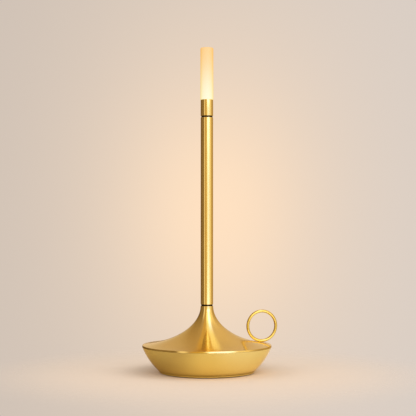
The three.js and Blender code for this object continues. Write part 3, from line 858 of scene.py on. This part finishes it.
@dataclass
class Base:
    """Bowl, cover, foot pad and the socket that stands in the neck.

    The cover's sweep is a curve: neck_pull draws it straight down from the neck, and rim_pull and rim_rise
    draw it in and up from the rim. A gap is the room between two pieces.
    """

    shop: Workshop
    foot_radius: float = 41.3 * MM
    foot_edge: float = 0.9 * MM
    foot_inset: float = 0.05 * MM
    side_radius: float = 57.8 * MM
    bowl_wall: float = 1.4 * MM
    bowl_floor: float = 1.7 * MM
    floor_edge: float = 1 * MM
    pad_gap: float = 0.3 * MM
    rim_lift: float = 1.45 * MM
    band: float = 1.35 * MM
    band_lean: float = 0.22 * MM
    band_edge: float = 0.12 * MM
    cover_wall: float = 0.9 * MM
    neck_radius: float = 5.45 * MM
    neck_pull: float = 16 * MM
    rim_pull: float = 30.4 * MM
    rim_rise: float = 2.9 * MM
    lip: float = 0.9 * MM
    lip_depth: float = 2 * MM
    lip_gap: float = 0.3 * MM
    seam: float = 0.06 * MM
    sleeve_wall: float = 0.6 * MM
    mouth: Pair = (0.2 * MM, 0.25 * MM)
    # Middles of the pad's grooves as shares of its radius, and their profile in millimetres
    grooves: Pair = (0.62, 0.8)
    groove: tuple[Point, ...] = ((-0.6, 0), (-0.35, 0.25), (0.35, 0.25), (0.6, 0))

    def __post_init__(self) -> None:
        """Works out the places that the pieces share."""
        self.bowl_low, self.bowl_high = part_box("base_bowl")
        self.rim_radius, _, self.neck_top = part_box("base_cover")[1]
        self.rim_height = self.bowl_high.z + self.rim_lift
        self.band_bottom = self.rim_height - self.band
        self.foot_top = self.bowl_low.z + self.foot_edge

    def sweep(self, share: float, depth: float = 0.0) -> Point:
        """Follows the cover's sweep.

        Args:
            share: how far along the curve, from the neck at 0 to the rim at 1.
            depth: how far inside the surface.

        Returns:
            The point as (radius, height).
        """
        rim = self.rim_radius - self.band_edge
        a = Vector((self.neck_radius, self.neck_top))
        b = Vector((self.neck_radius, self.neck_top - self.neck_pull))
        c = Vector((rim - self.rim_pull, self.rim_height + self.rim_rise))
        d = Vector((rim, self.rim_height))
        rest = 1 - share
        point = rest**3 * a + 3 * rest**2 * share * b + 3 * rest * share**2 * c + share**3 * d
        along = (rest**2 * (b - a) + 2 * rest * share * (c - b) + share**2 * (d - c)).normalized()
        return (point.x + along.y * depth, point.y - along.x * depth)

    def share_at(self, radius: float, depth: float = 0.0) -> float:
        """Finds how far along the sweep a radius is reached.

        Args:
            radius: the radius.
            depth: how far inside the surface.

        Returns:
            The share of the sweep.
        """
        low, high = 0.0, 1.0
        for _ in range(HALVINGS):
            middle = (low + high) / 2
            if self.sweep(middle, depth)[0] < radius:
                low = middle
            else:
                high = middle
        return low

    def side_at(self, height: float, wall: float = 0.0) -> float:
        """Follows the arc of the bowl's side.

        Args:
            height: height above the table.
            wall: how far inside the outer surface.

        Returns:
            The radius there.
        """
        low, high = Vector((self.foot_radius, self.foot_top)), Vector((self.rim_radius, self.bowl_high.z))
        chord = high - low
        reach = math.sqrt(self.side_radius**2 - (chord.length / 2) ** 2)
        centre = (low + high) / 2 - Vector((chord.y, -chord.x)).normalized() * reach
        return centre.x + math.sqrt((self.side_radius - wall) ** 2 - (height - centre.y) ** 2)

    def make_bowl(self) -> None:
        """Turns the bowl, and cuts the opening of the port."""
        bottom, pad = self.bowl_low.z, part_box("foot_pad")[1]
        roof, recess = pad.z + self.pad_gap, pad.x + self.pad_gap
        floor, top = roof + self.bowl_floor, self.band_bottom - self.seam
        outer = [(self.side_at(z), z) for z in evenly(self.foot_top, top, count=30)]
        inner = [(self.side_at(z, self.bowl_wall), z) for z in evenly(floor, top, count=20)]
        outline = [
            (recess, bottom, SOFT),
            (self.foot_radius - self.foot_inset, bottom, self.foot_edge),
            *outer[:-1],
            (self.rim_radius, top, CRISP),
            *reversed(inner[1:]),
            (*inner[0], self.floor_edge),
            (0.0, floor),
            (0.0, roof),
            (recess, roof, WORN),
        ]
        bowl = self.shop.turned("bowl", outline, Finish.SATIN, sides=288, steps=8)
        self.shop.combine(bowl, Port(self.shop).opening(), "DIFFERENCE")
        self.shop.hand_over(bowl, "base", Finish.SATIN, "base_bowl")

    def make_cover(self) -> None:
        """Turns the cover with its rim band and lip, and bores it for the handle's stud."""
        lip_bottom = self.band_bottom - self.lip_depth
        lip_outer = self.side_at(lip_bottom, self.bowl_wall) - self.lip_gap
        lip_inner = lip_outer - self.lip
        outer = [self.sweep(share) for share in evenly(0, 1, count=72)]
        inner = evenly(0, self.share_at(lip_inner, self.cover_wall), count=40)
        outline = [
            (lip_inner, lip_bottom, SOFT),
            (lip_outer, lip_bottom, SOFT),
            (lip_outer, self.band_bottom),
            (self.rim_radius, self.band_bottom, CRISP),
            (self.rim_radius - self.band_lean, self.rim_height, self.band_edge),
            *reversed(outer[1:-1]),
            (*outer[0], SOFT),
            *(self.sweep(share, self.cover_wall) for share in inner),
        ]
        cover = self.shop.turned("cover", outline, Finish.SATIN, sides=288, steps=6)
        self.shop.combine(cover, Handle(self.shop, self).bore(), "DIFFERENCE")
        self.shop.hand_over(cover, "base", Finish.SATIN, "base_cover")

    def make_pad(self) -> None:
        """Turns the foot pad, with a rounded edge and two shallow grooves underneath."""
        low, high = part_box("foot_pad")
        outline = [(0.0, high.z), (0.0, low.z)]
        for share in self.grooves:
            for across, depth in self.groove:
                outline.append((high.x * share + across * MM, low.z + depth * MM, EASED))
        outline += [(high.x, low.z, FULL), (high.x, high.z, EASED)]
        self.shop.turn_for("base", "foot_pad", "foot_disc", outline, Finish.FOOT, steps=4)

    def make_sleeve(self) -> None:
        """Turns the socket's sleeve, whose chamfered mouth shows when the stem is lifted."""
        low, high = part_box("socket_sleeve")
        inner = high.x - self.sleeve_wall
        outline = plain_ring(inner, high.x, low.z, high.z, EASED)[:3]
        outline += [(inner + self.mouth[0], high.z, CRISP), (inner, high.z - self.mouth[1], CRISP)]
        self.shop.turn_for("base", "socket_sleeve", "socket_tube", outline, Finish.PLAIN, sides=96, steps=3)

    def build(self) -> None:
        """Builds every piece of the base."""
        self.make_bowl()
        self.make_cover()
        self.make_pad()
        self.make_sleeve()
        Handle(self.shop, self).build()
        Port(self.shop).build()


@dataclass
class Handle:
    """Wire ring on a short brazed neck, square to the cover's slope, whose stud flares into the wire."""

    shop: Workshop
    base: Base
    wire_radius: float = 1.27 * MM
    outer_radius: float = 14.25 * MM
    hoop_sides: int = 168
    wire_sides: int = 36
    rim_distance: float = 8 * MM
    neck: float = 0.08 * MM
    stud_radius: float = 0.7 * MM
    stud_length: float = 4.4 * MM
    flare: float = 1.25
    flare_start: float = 0.6
    bore_gap: float = 0.04 * MM
    bore_reach: float = 3 * MM

    def stood(self, piece: bpy.types.Object) -> bpy.types.Object:
        """Moves a piece from upright at the origin to its place on the cover.

        Args:
            piece: the piece, whose mesh moves.

        Returns:
            The same piece.
        """
        share, step = self.base.share_at(self.base.rim_radius - self.rim_distance), 1e-4
        radius, height = self.base.sweep(share)
        ahead, behind = self.base.sweep(share + step), self.base.sweep(share - step)
        tilt = math.atan2(behind[1] - ahead[1], ahead[0] - behind[0])
        piece.data.transform(Matrix.Translation((radius, 0, height)) @ Matrix.Rotation(tilt, 4, "Y"))
        return piece

    def bore(self) -> bpy.types.Object:
        """Rod that bores the cover for the stud."""
        rod = plain_ring(0.0, self.stud_radius + self.bore_gap, -self.bore_reach, self.bore_reach)
        return self.stood(self.shop.turned("stud_bore", rod, Finish.PLAIN, sides=48))

    def build(self) -> None:
        """Bends the ring and joins its stud."""
        sizes = {
            "Hoop Radius": self.outer_radius - self.wire_radius,
            "Wire Radius": self.wire_radius,
            "Centre": (0.0, 0.0, self.neck + self.outer_radius),
            "Hoop Sides": self.hoop_sides,
            "Wire Sides": self.wire_sides,
        }
        ring = self.shop.hoop.run("ring_handle", bpy.data.meshes.new("ring_handle"), Finish.POLISHED, sizes)
        settle(ring)
        top = self.neck + self.wire_radius
        outline = [
            (0.0, -self.stud_length),
            (self.stud_radius, -self.stud_length, SOFT),
            (self.stud_radius, self.neck * self.flare_start),
            (self.stud_radius * self.flare, top),
            (0.0, top),
        ]
        self.shop.combine(ring, self.shop.turned("stud", outline, Finish.POLISHED, sides=48), "UNION")
        self.shop.hand_over(self.stood(ring), "base", Finish.POLISHED, "handle_ring")


@dataclass
class Port:
    """Charging port in the rear of the bowl: a drawn shell, and a tongue with contacts on both faces.

    The shell's mouth is rounded by half its wall; half way round, a share roll of that is cut away.
    """

    shop: Workshop
    wall: float = 0.3 * MM
    back: float = 1 * MM
    bowl_gap: float = 0.3 * MM
    cut_reach: float = 8 * MM
    roll: float = 0.3
    contacts: int = 12
    pitch: float = 0.5 * MM
    contact_width: float = 0.27 * MM
    contact_height: float = 0.04 * MM
    contact_ends: Pair = (1.2 * MM, 0.5 * MM)

    def __post_init__(self) -> None:
        """Reads the corners of the shell and of the tongue."""
        self.shell, self.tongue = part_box("usb_shell"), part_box("usb_tongue")

    def opening(self) -> bpy.types.Object:
        """Draws the bar that cuts the port's opening through the bowl.

        Returns:
            The bar.
        """
        ends = (self.shell[0].y, self.shell[1].y + self.cut_reach)
        rings = [(y, stadium(self.shell, self.bowl_gap)) for y in ends]
        return self.shop.drawn("port_opening", rings, Finish.SATIN)

    def make_shell(self) -> None:
        """Draws the shell, with a rolled mouth and a closed back."""
        start, end = self.shell[0].y, self.shell[1].y
        lip = self.wall / 2
        turn = lip * self.roll
        margins = [
            (start, 0.0),
            (end - lip, 0.0),
            (end - turn, -turn),
            (end, -lip),
            (end - turn, -self.wall + turn),
            (end - lip, -self.wall),
            (start + self.back, -self.wall),
        ]
        rings = [(y, stadium(self.shell, margin)) for y, margin in margins]
        shell = self.shop.drawn("port_shell", rings, Finish.PORT)
        self.shop.hand_over(shell, "base", Finish.PORT, "usb_shell")

    def make_tongue(self) -> None:
        """Moulds the tongue, with rounded edges."""
        rings = [(corner.y, stadium(self.tongue, steps=8)) for corner in self.tongue]
        tongue = self.shop.drawn("port_tongue", rings, Finish.BLACK)
        self.shop.hand_over(tongue, "base", Finish.BLACK, "usb_tongue")

    def make_contacts(self) -> None:
        """Lays a row of contacts on each face of the tongue."""
        low, high = self.tongue
        left = -self.pitch * (self.contacts - 1) / 2 - self.contact_width / 2
        bottom, top = low.z - self.contact_height, low.z + self.contact_height
        section = [point[:2] for point in plain_ring(left, left + self.contact_width, bottom, top)]
        ends = (low.y + self.contact_ends[0], high.y - self.contact_ends[1])
        seed = self.shop.drawn("contact", [(y, section) for y in ends], Finish.NICKEL)
        sizes = {"Count": self.contacts, "Pitch": (self.pitch, 0.0, 0.0)}
        sizes |= {"Rows": 2, "Row Pitch": (0.0, 0.0, high.z - low.z)}
        contacts = self.shop.rows.run("port_contacts", seed.data.copy(), Finish.NICKEL, sizes)
        bpy.data.objects.remove(seed)
        self.shop.hand_over(contacts, "base", Finish.NICKEL)

    def build(self) -> None:
        """Builds the shell, the tongue and its contacts."""
        self.make_shell()
        self.make_tongue()
        self.make_contacts()


@dataclass
class Stem:
    """Brushed tube between the two dark grooves, with the spigot that plugs into the neck."""

    shop: Workshop
    wall: float = 0.7 * MM
    plug_radius: float = 4.4 * MM
    spigot_radius: float = 3.4 * MM
    spigot_wall: float = 1 * MM
    tip: Pair = (0.4 * MM, 0.6 * MM)
    gasket_bore: float = 3.5 * MM
    washer_bore: float = 3.44 * MM
    ring_reach: float = 0.25 * MM

    def make_tube(self) -> None:
        """Turns the tube."""
        low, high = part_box("stem_tube")
        outline = plain_ring(high.x - self.wall, high.x, low.z, high.z, SOFT)
        self.shop.turn_for("stem", "stem_tube", "stem", outline, Finish.SATIN)

    def make_spigot(self) -> None:
        """Turns the spigot, with a chamfered tip."""
        low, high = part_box("stem_spigot")
        inner = self.spigot_radius - self.spigot_wall
        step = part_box("stem_tube")[0].z
        outline = [
            (inner, low.z, EASED),
            (self.spigot_radius - self.tip[0], low.z, EASED),
            (self.spigot_radius, low.z + self.tip[1], WORN),
            (self.spigot_radius, step),
            (self.plug_radius, step, EASED),
            (self.plug_radius, high.z, WORN),
            (inner, high.z, EASED),
        ]
        self.shop.turn_for("stem", "stem_spigot", "spigot", outline, Finish.PLAIN, sides=96, steps=4)

    def make_groove_ring(self, name: str, node: str, bore: float, finish: Finish) -> None:
        """Turns one of the dark rings in the grooves.

        Args:
            name: the piece's name.
            node: the frame's node that it stands for.
            bore: radius of its hole.
            finish: what it is finished in.
        """
        low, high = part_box(node)
        bottom, top = low.z - self.ring_reach, high.z + self.ring_reach
        outline = [(bore, bottom, FINE), (high.x, bottom, EASED), (high.x, top, EASED), (bore, top, FINE)]
        self.shop.turn_for("stem", node, name, outline, finish, sides=128, steps=3)

    def build(self) -> None:
        """Builds every piece of the stem that shows."""
        self.make_tube()
        self.make_spigot()
        self.make_groove_ring("neck_ring", "neck_gasket", self.gasket_bore, Finish.GASKET)
        self.make_groove_ring("collar_ring", "collar_washer", self.washer_bore, Finish.BLACK)


@dataclass
class Head:
    """Collar that is turned to dim the lamp, and the frosted tube that it holds, with a narrower neck."""

    shop: Workshop
    wall: float = 0.7 * MM
    collar_bore: float = 3.25 * MM
    web: float = 5.4 * MM
    tube_radius: float = 5.65 * MM
    tube_wall: float = 1 * MM
    tube_gap: float = 0.12 * MM
    shoulder: float = 1.35 * MM
    inner_shoulder: float = 0.8 * MM
    dome: float = 0.12 * MM
    neck_gap: float = 0.3 * MM
    neck_inner: float = 3.4 * MM
    funnel: Pair = (6 * MM, 7 * MM)

    def make_collar(self) -> None:
        """Turns the collar's cup."""
        low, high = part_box("collar")
        cup, web = high.x - self.wall, low.z + self.web
        outline = plain_ring(self.collar_bore, high.x, low.z, high.z, SOFT)[:3]
        outline += [(cup, high.z, SOFT), (cup, web, SOFT), (self.collar_bore, web, SOFT)]
        self.shop.turn_for("head", "collar", "collar_cup", outline, Finish.SATIN)

    def make_diffuser(self) -> None:
        """Turns the frosted tube, with a rounded shoulder and a faint dome."""
        low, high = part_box("diffuser")
        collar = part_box("collar")[1]
        bottom, shoulder, roof = collar.z + self.tube_gap, high.z - self.dome, high.z - self.tube_wall
        bore, neck_outer = self.tube_radius - self.tube_wall, collar.x - self.wall - self.neck_gap
        flat = self.tube_radius - self.shoulder
        outline = [
            (0.0, roof),
            (bore, roof, self.inner_shoulder),
            (bore, low.z + self.funnel[1], FULL),
            (self.neck_inner, low.z + self.funnel[0], FULL),
            (self.neck_inner, low.z, EASED),
            (neck_outer, low.z, EASED),
            (neck_outer, bottom),
            (self.tube_radius, bottom, WORN),
            (self.tube_radius, shoulder, self.shoulder),
        ]
        for radius in evenly(flat, 0, count=12)[1:]:
            outline.append((radius, shoulder + self.dome * (1 - (radius / flat) ** 2)))
        self.shop.turn_for("head", "diffuser", "frosted_tube", outline, Finish.DIFFUSER, steps=10)

    def build(self) -> None:
        """Builds the collar and the diffuser."""
        self.make_collar()
        self.make_diffuser()


class Works:
    """Inner pieces that keep the frame's own shapes and take a finish each."""

    def build(self) -> None:
        """Gives every node that still shows its slot's finish."""
        finishes = {finish.slot: finish for finish in Finish}
        for row in frame["record"]["subparts"]:
            node = frame["nodes"][row["node"]]
            if node.hide_render:
                continue
            material = finishes[row["material_slot"]].made()
            if not node.material_slots:
                node.data.materials.append(material)
            for slot in node.material_slots:
                slot.material = material
            log.info("%s: finished in %s", node.name, row["material_slot"])


# Studio


@dataclass(frozen=True)
class Panel:
    """One soft area of the studio's surroundings, named by the turned surface that shows it to the camera.

    Attributes:
        facing: degrees that this surface faces to the right of the camera.
        half_width: degrees from the panel's middle to where it ends.
        softness: degrees over which it fades.
        colour: its light.
        whole: slope in degrees up to which it is whole.
        gone: slope from which it is gone; below the other for a panel that only steep slopes show.
    """

    facing: float
    half_width: float
    softness: float
    colour: Colour
    whole: float = 100.0
    gone: float = 120.0


@dataclass(frozen=True)
class Light:
    """One soft round light that faces the lamp; metal shows the panels in its place.

    Its bearing to the right of the camera and its elevation are in degrees, and its power is in watts.
    """

    name: str
    bearing: float
    elevation: float
    distance: float
    size: float
    power: float


@dataclass
class Studio:
    """Camera, surroundings, floor and lights.

    A span holds where a smooth step is 0 and where it is 1, and spans of facing are in degrees. The picture
    shows the backdrop, with a painted glow of the lamp behind it, and the floor's own colour. Metal mirrors
    the sky in front of the lamp, what lies far behind it, the panels, of which a later one covers an
    earlier one, and a painted reflection of the floor, with painted shade on its left, painted light on its
    right and a painted contact shadow round the foot.
    """

    bearing: float = -16.5
    distance: float = 0.9133
    height: float = 0.1181
    pitch: float = 1.52
    aim_right: float = 0.96 * MM
    focal_pixels: float = 1050.0
    frame_pixels: float = 416.0
    sensor: float = 36.0
    backdrop_left: Colour = (0.584, 0.514, 0.46)
    backdrop_right: Colour = (0.657, 0.6, 0.56)
    backdrop_span: Pair = (-0.22, 0.24)
    # Painted light: the lamp's warm glow painted on the backdrop around the lamp, with its size and place
    painted_lamp_glow: Colour = (1.0, 0.755, 0.538)
    painted_glow_width: float = 0.0997
    painted_glow_squeeze: float = 0.718
    painted_glow_falloff: float = 1.11
    painted_glow_right: float = 0.0068
    painted_glow_rise: float = 0.0236
    ambient: Colour = (0.59, 0.575, 0.55)
    sky_left: Colour = (0.46, 0.28, 0.15)
    sky_right: Colour = (0.76, 0.52, 0.35)
    sky_span: Pair = (-30, 30)
    far_left: Colour = (0.62, 0.46, 0.38)
    far_middle: Colour = (0.5, 0.33, 0.21)
    far_right: Colour = (0.7, 0.52, 0.44)
    far_left_span: Pair = (-45, -15)
    far_right_span: Pair = (-5, 40)
    far_rise: Pair = (0.12, 0.36)
    far_toward: Pair = (-0.6, -0.93)
    panels: tuple[Panel, ...] = (
        Panel(-50, 25, 3, (0.25, 0.15, 0.07), 12, 62),
        Panel(-78, 20, 12, (0.15, 0.08, 0.03), 12, 40),
        Panel(-21.5, 4, 3.5, (1.08, 0.85, 0.68), 18, 32),
        Panel(-7, 7, 2.5, (0.66, 0.37, 0.11)),
        Panel(36, 9, 4, (1.1, 0.8, 0.5), 20, 50),
        Panel(70, 26, 10, (0.5, 0.32, 0.16), 12, 45),
        Panel(8, 9.5, 4.5, (1.14, 0.9, 0.56)),
        Panel(0.2, 5.2, 1.2, (1.35, 0.95, 0.22), 62, 46),
        Panel(12, 14, 4, (1.7, 1.5, 1.2), 22, 42),
        Panel(13, 5.5, 3.5, (1.6, 1.55, 2.8), 30, 55),
        Panel(13, 12, 4, (2.2, 2.1, 3.2), 9, 13),
        Panel(28, 8, 3, (0.92, 0.8, 0.68), 4, 6.5),
        Panel(10, 8, 5, (0.96, 0.83, 0.55), 4, 6.5),
        Panel(16, 5.5, 5, (1.18, 1.1, 1.6), 4, 6.5),
        Panel(-4.5, 5.5, 4, (0.66, 0.39, 0.07), 5, 14),
    )
    floor_colour: Colour = (0.85, 0.69, 0.56)
    floor_reach: float = 1.6
    floor_drop: float = 0.05 * MM
    floor_fade: Pair = (0.07, 0.22)
    floor_skin: Pair = (2 * MM, 1 * MM)
    painted_shade_left: Colour = (0.55, 0.41, 0.27)
    # Painted reflection: colours that metal sees on the floor, with painted shade on the left, painted
    # light on the right and a painted contact shadow round the foot
    painted_reflection_middle: Colour = (0.82, 0.65, 0.42)
    painted_light_right: Colour = (0.92, 0.8, 0.73)
    painted_reflection_reach: float = 46 * MM
    painted_contact_shadow: Colour = (0.42, 0.3, 0.17)
    painted_contact_shadow_span: Pair = (44 * MM, 41 * MM)
    lamp_colour: Colour = (1.0, 0.98, 0.95)
    lamp_aim: float = 0.08
    lights: tuple[Light, ...] = (
        Light("key", 62, 44, 1.3, 1.2, 6.2),
        Light("front", 5, 40, 1.4, 0.9, 3.4),
        Light("fill", -62, 38, 1.4, 0.9, 3.2),
    )

    def __post_init__(self) -> None:
        """Works out the level directions to the camera and to the right of its picture."""
        angle = math.radians(self.bearing)
        self.back = Vector((math.sin(angle), -math.cos(angle), 0))
        self.right = Vector((math.cos(angle), math.sin(angle), 0))

    def make_camera(self) -> None:
        """Makes the camera and gives it to the scene."""
        data = bpy.data.cameras.new("camera")
        data.sensor_width = self.sensor
        data.lens = self.focal_pixels * self.sensor / self.frame_pixels
        data.clip_start = 0.01
        camera = put("camera", data)
        level = self.back * self.distance + self.right * self.aim_right
        camera.location = level + Vector((0, 0, self.height))
        camera.rotation_euler = (math.radians(90 + self.pitch), 0, math.radians(self.bearing))
        bpy.context.scene.camera = camera

    def make_world(self) -> None:
        """Makes the surroundings: a pale backdrop to look at, and soft panels to mirror."""
        world = bpy.data.worlds.new("studio")
        world.use_nodes = True
        world.node_tree.nodes.clear()
        bpy.context.scene.world = world
        nodes = Nodes(world.node_tree)
        way = nodes.value("ShaderNodeTexCoord", output="Generated")
        plain, shown, seen = (
            nodes.add("ShaderNodeBackground", {"Color": colour})
            for colour in (self.ambient, self.surroundings(nodes, way), self.backdrop(nodes, way))
        )
        rays = nodes.add("ShaderNodeLightPath").outputs
        shiny = Value(nodes.tree, rays["Is Glossy Ray"]).larger(rays["Is Transmission Ray"])
        whole = nodes.blend(rays["Is Camera Ray"], nodes.blend(shiny, plain, shown), seen)
        nodes.add("ShaderNodeOutputWorld", {"Surface": whole})

    def backdrop(self, nodes: Nodes, way: Value) -> bpy.types.NodeSocket:
        """Makes the backdrop: pale and lighter to the right, with a painted warm glow of the lamp behind
        it.

        Args:
            nodes: makes the nodes.
            way: the ray's direction.

        Returns:
            Its colour.
        """
        across, rise = nodes.dot(way, self.right), nodes.parts(way)[2]
        colour = nodes.mix(across.step(*self.backdrop_span), self.backdrop_left, self.backdrop_right)
        # Painted light: the lamp's warm glow painted on the backdrop, strongest just behind the lamp
        aside = (across - self.painted_glow_right) / self.painted_glow_width
        above = (rise - self.painted_glow_rise) * (self.painted_glow_squeeze / self.painted_glow_width)
        glow = 1 / ((aside * aside + above * above) ** self.painted_glow_falloff + 1)
        return nodes.mix(glow, colour, self.painted_lamp_glow)

    def surroundings(self, nodes: Nodes, way: Value) -> bpy.types.NodeSocket:
        """Lays light out by the facing and slope of the surface that shows it to the camera.

        Args:
            nodes: makes the nodes.
            way: the ray's direction.

        Returns:
            The colour that metal mirrors.
        """
        toward, across, rise = nodes.dot(way, self.back), nodes.dot(way, self.right), nodes.parts(way)[2]
        level = toward + 1
        facing = across.angle(level)
        slope = rise.size().angle((level * level + across * across) ** 0.5)
        sky = nodes.mix(facing.step(*self.sky_span), self.sky_left, self.sky_right)
        far = nodes.mix(facing.step(*self.far_left_span), self.far_left, self.far_middle)
        far = nodes.mix(facing.step(*self.far_right_span), far, self.far_right)
        behind = nodes.mix(rise.step(*self.far_rise), self.backdrop(nodes, way), far)
        colour = nodes.mix(toward.step(*self.far_toward), sky, behind)
        for panel in self.panels:
            offset = (facing - panel.facing).size()
            share = offset.step(panel.half_width + panel.softness, panel.half_width - panel.softness)
            colour = nodes.mix(share * slope.step(panel.gone, panel.whole), colour, panel.colour)
        return colour

    def floor_shader(self, nodes: Nodes) -> bpy.types.Node:
        """Makes the floor's surface, which is clear far away, from below and right under the lamp, and
        which metal sees as a painted reflection with painted shade and a painted contact shadow.

        Args:
            nodes: makes the nodes.

        Returns:
            The mixed shader.
        """
        place = nodes.place
        x, y, _ = nodes.parts(place)
        radius = (x * x + y * y) ** 0.5
        grain = nodes.noise(place, scale=60.0, detail=3.0)
        colour = nodes.mix(grain, self.floor_colour, shaded(self.floor_colour, 0.985))
        # Painted reflection: glossy rays see the floor in painted colours, painted shade on the left,
        # painted light on the right and a painted contact shadow next to the foot
        across = x * self.right.x + y * self.right.y
        shown = nodes.mix(across.step(-self.painted_reflection_reach, 0), self.painted_shade_left, self.painted_reflection_middle)
        shown = nodes.mix(across.step(0, self.painted_reflection_reach), shown, self.painted_light_right)
        shown = nodes.mix(radius.step(*self.painted_contact_shadow_span), shown, self.painted_contact_shadow)
        shiny = nodes.value("ShaderNodeLightPath", output="Is Glossy Ray")
        matte = nodes.add("ShaderNodeBsdfDiffuse", {"Color": nodes.mix(shiny, colour, shown)})
        clear = nodes.add("ShaderNodeBsdfTransparent")
        back = nodes.value("ShaderNodeNewGeometry", output="Backfacing")
        touching = nodes.value("ShaderNodeLightPath", output="Ray Length").step(*self.floor_skin)
        away = radius.step(*self.floor_fade).larger(back.larger(touching * (1 - shiny)))
        return nodes.blend(away, matte, clear)

    def make_floor(self) -> None:
        """Makes the pale floor, which fades into the backdrop away from the lamp."""
        form = bmesh.new()
        level = Matrix.Translation((0, 0, -self.floor_drop))
        bmesh.ops.create_circle(form, cap_ends=True, radius=self.floor_reach, segments=96, matrix=level)
        mesh = bpy.data.meshes.new("floor")
        form.to_mesh(mesh)
        form.free()
        mesh.materials.append(new_material("floor", self.floor_shader))
        put("floor", mesh)

    def make_light(self, light: Light) -> None:
        """Hangs one light.

        Args:
            light: the light.
        """
        data = bpy.data.lights.new(light.name, "AREA")
        data.shape = "DISK"
        data.size = light.size
        data.energy = light.power
        data.color = self.lamp_colour
        turn, rise = math.radians(light.bearing), math.radians(light.elevation)
        level = self.back * math.cos(turn) + self.right * math.sin(turn)
        way = level * math.cos(rise) + Vector((0, 0, math.sin(rise)))
        lamp = put(light.name, data)
        lamp.location = way * light.distance + Vector((0, 0, self.lamp_aim))
        lamp.rotation_euler = way.to_track_quat("Z", "Y").to_euler()
        lamp.visible_camera = lamp.visible_glossy = False

    def build(self) -> None:
        """Builds the whole studio."""
        bpy.context.scene.view_settings.view_transform = "Standard"
        self.make_camera()
        self.make_world()
        self.make_floor()
        for light in self.lights:
            self.make_light(light)


def main() -> None:
    """Builds the lamp and its studio."""
    logging.basicConfig(level=logging.INFO, format="%(name)s: %(message)s")
    shop = Workshop()
    for part in (Studio(), Base(shop), Stem(shop), Head(shop), Works()):
        part.build()
    log.info("boxes written")


if __name__ == "__main__":
    main()
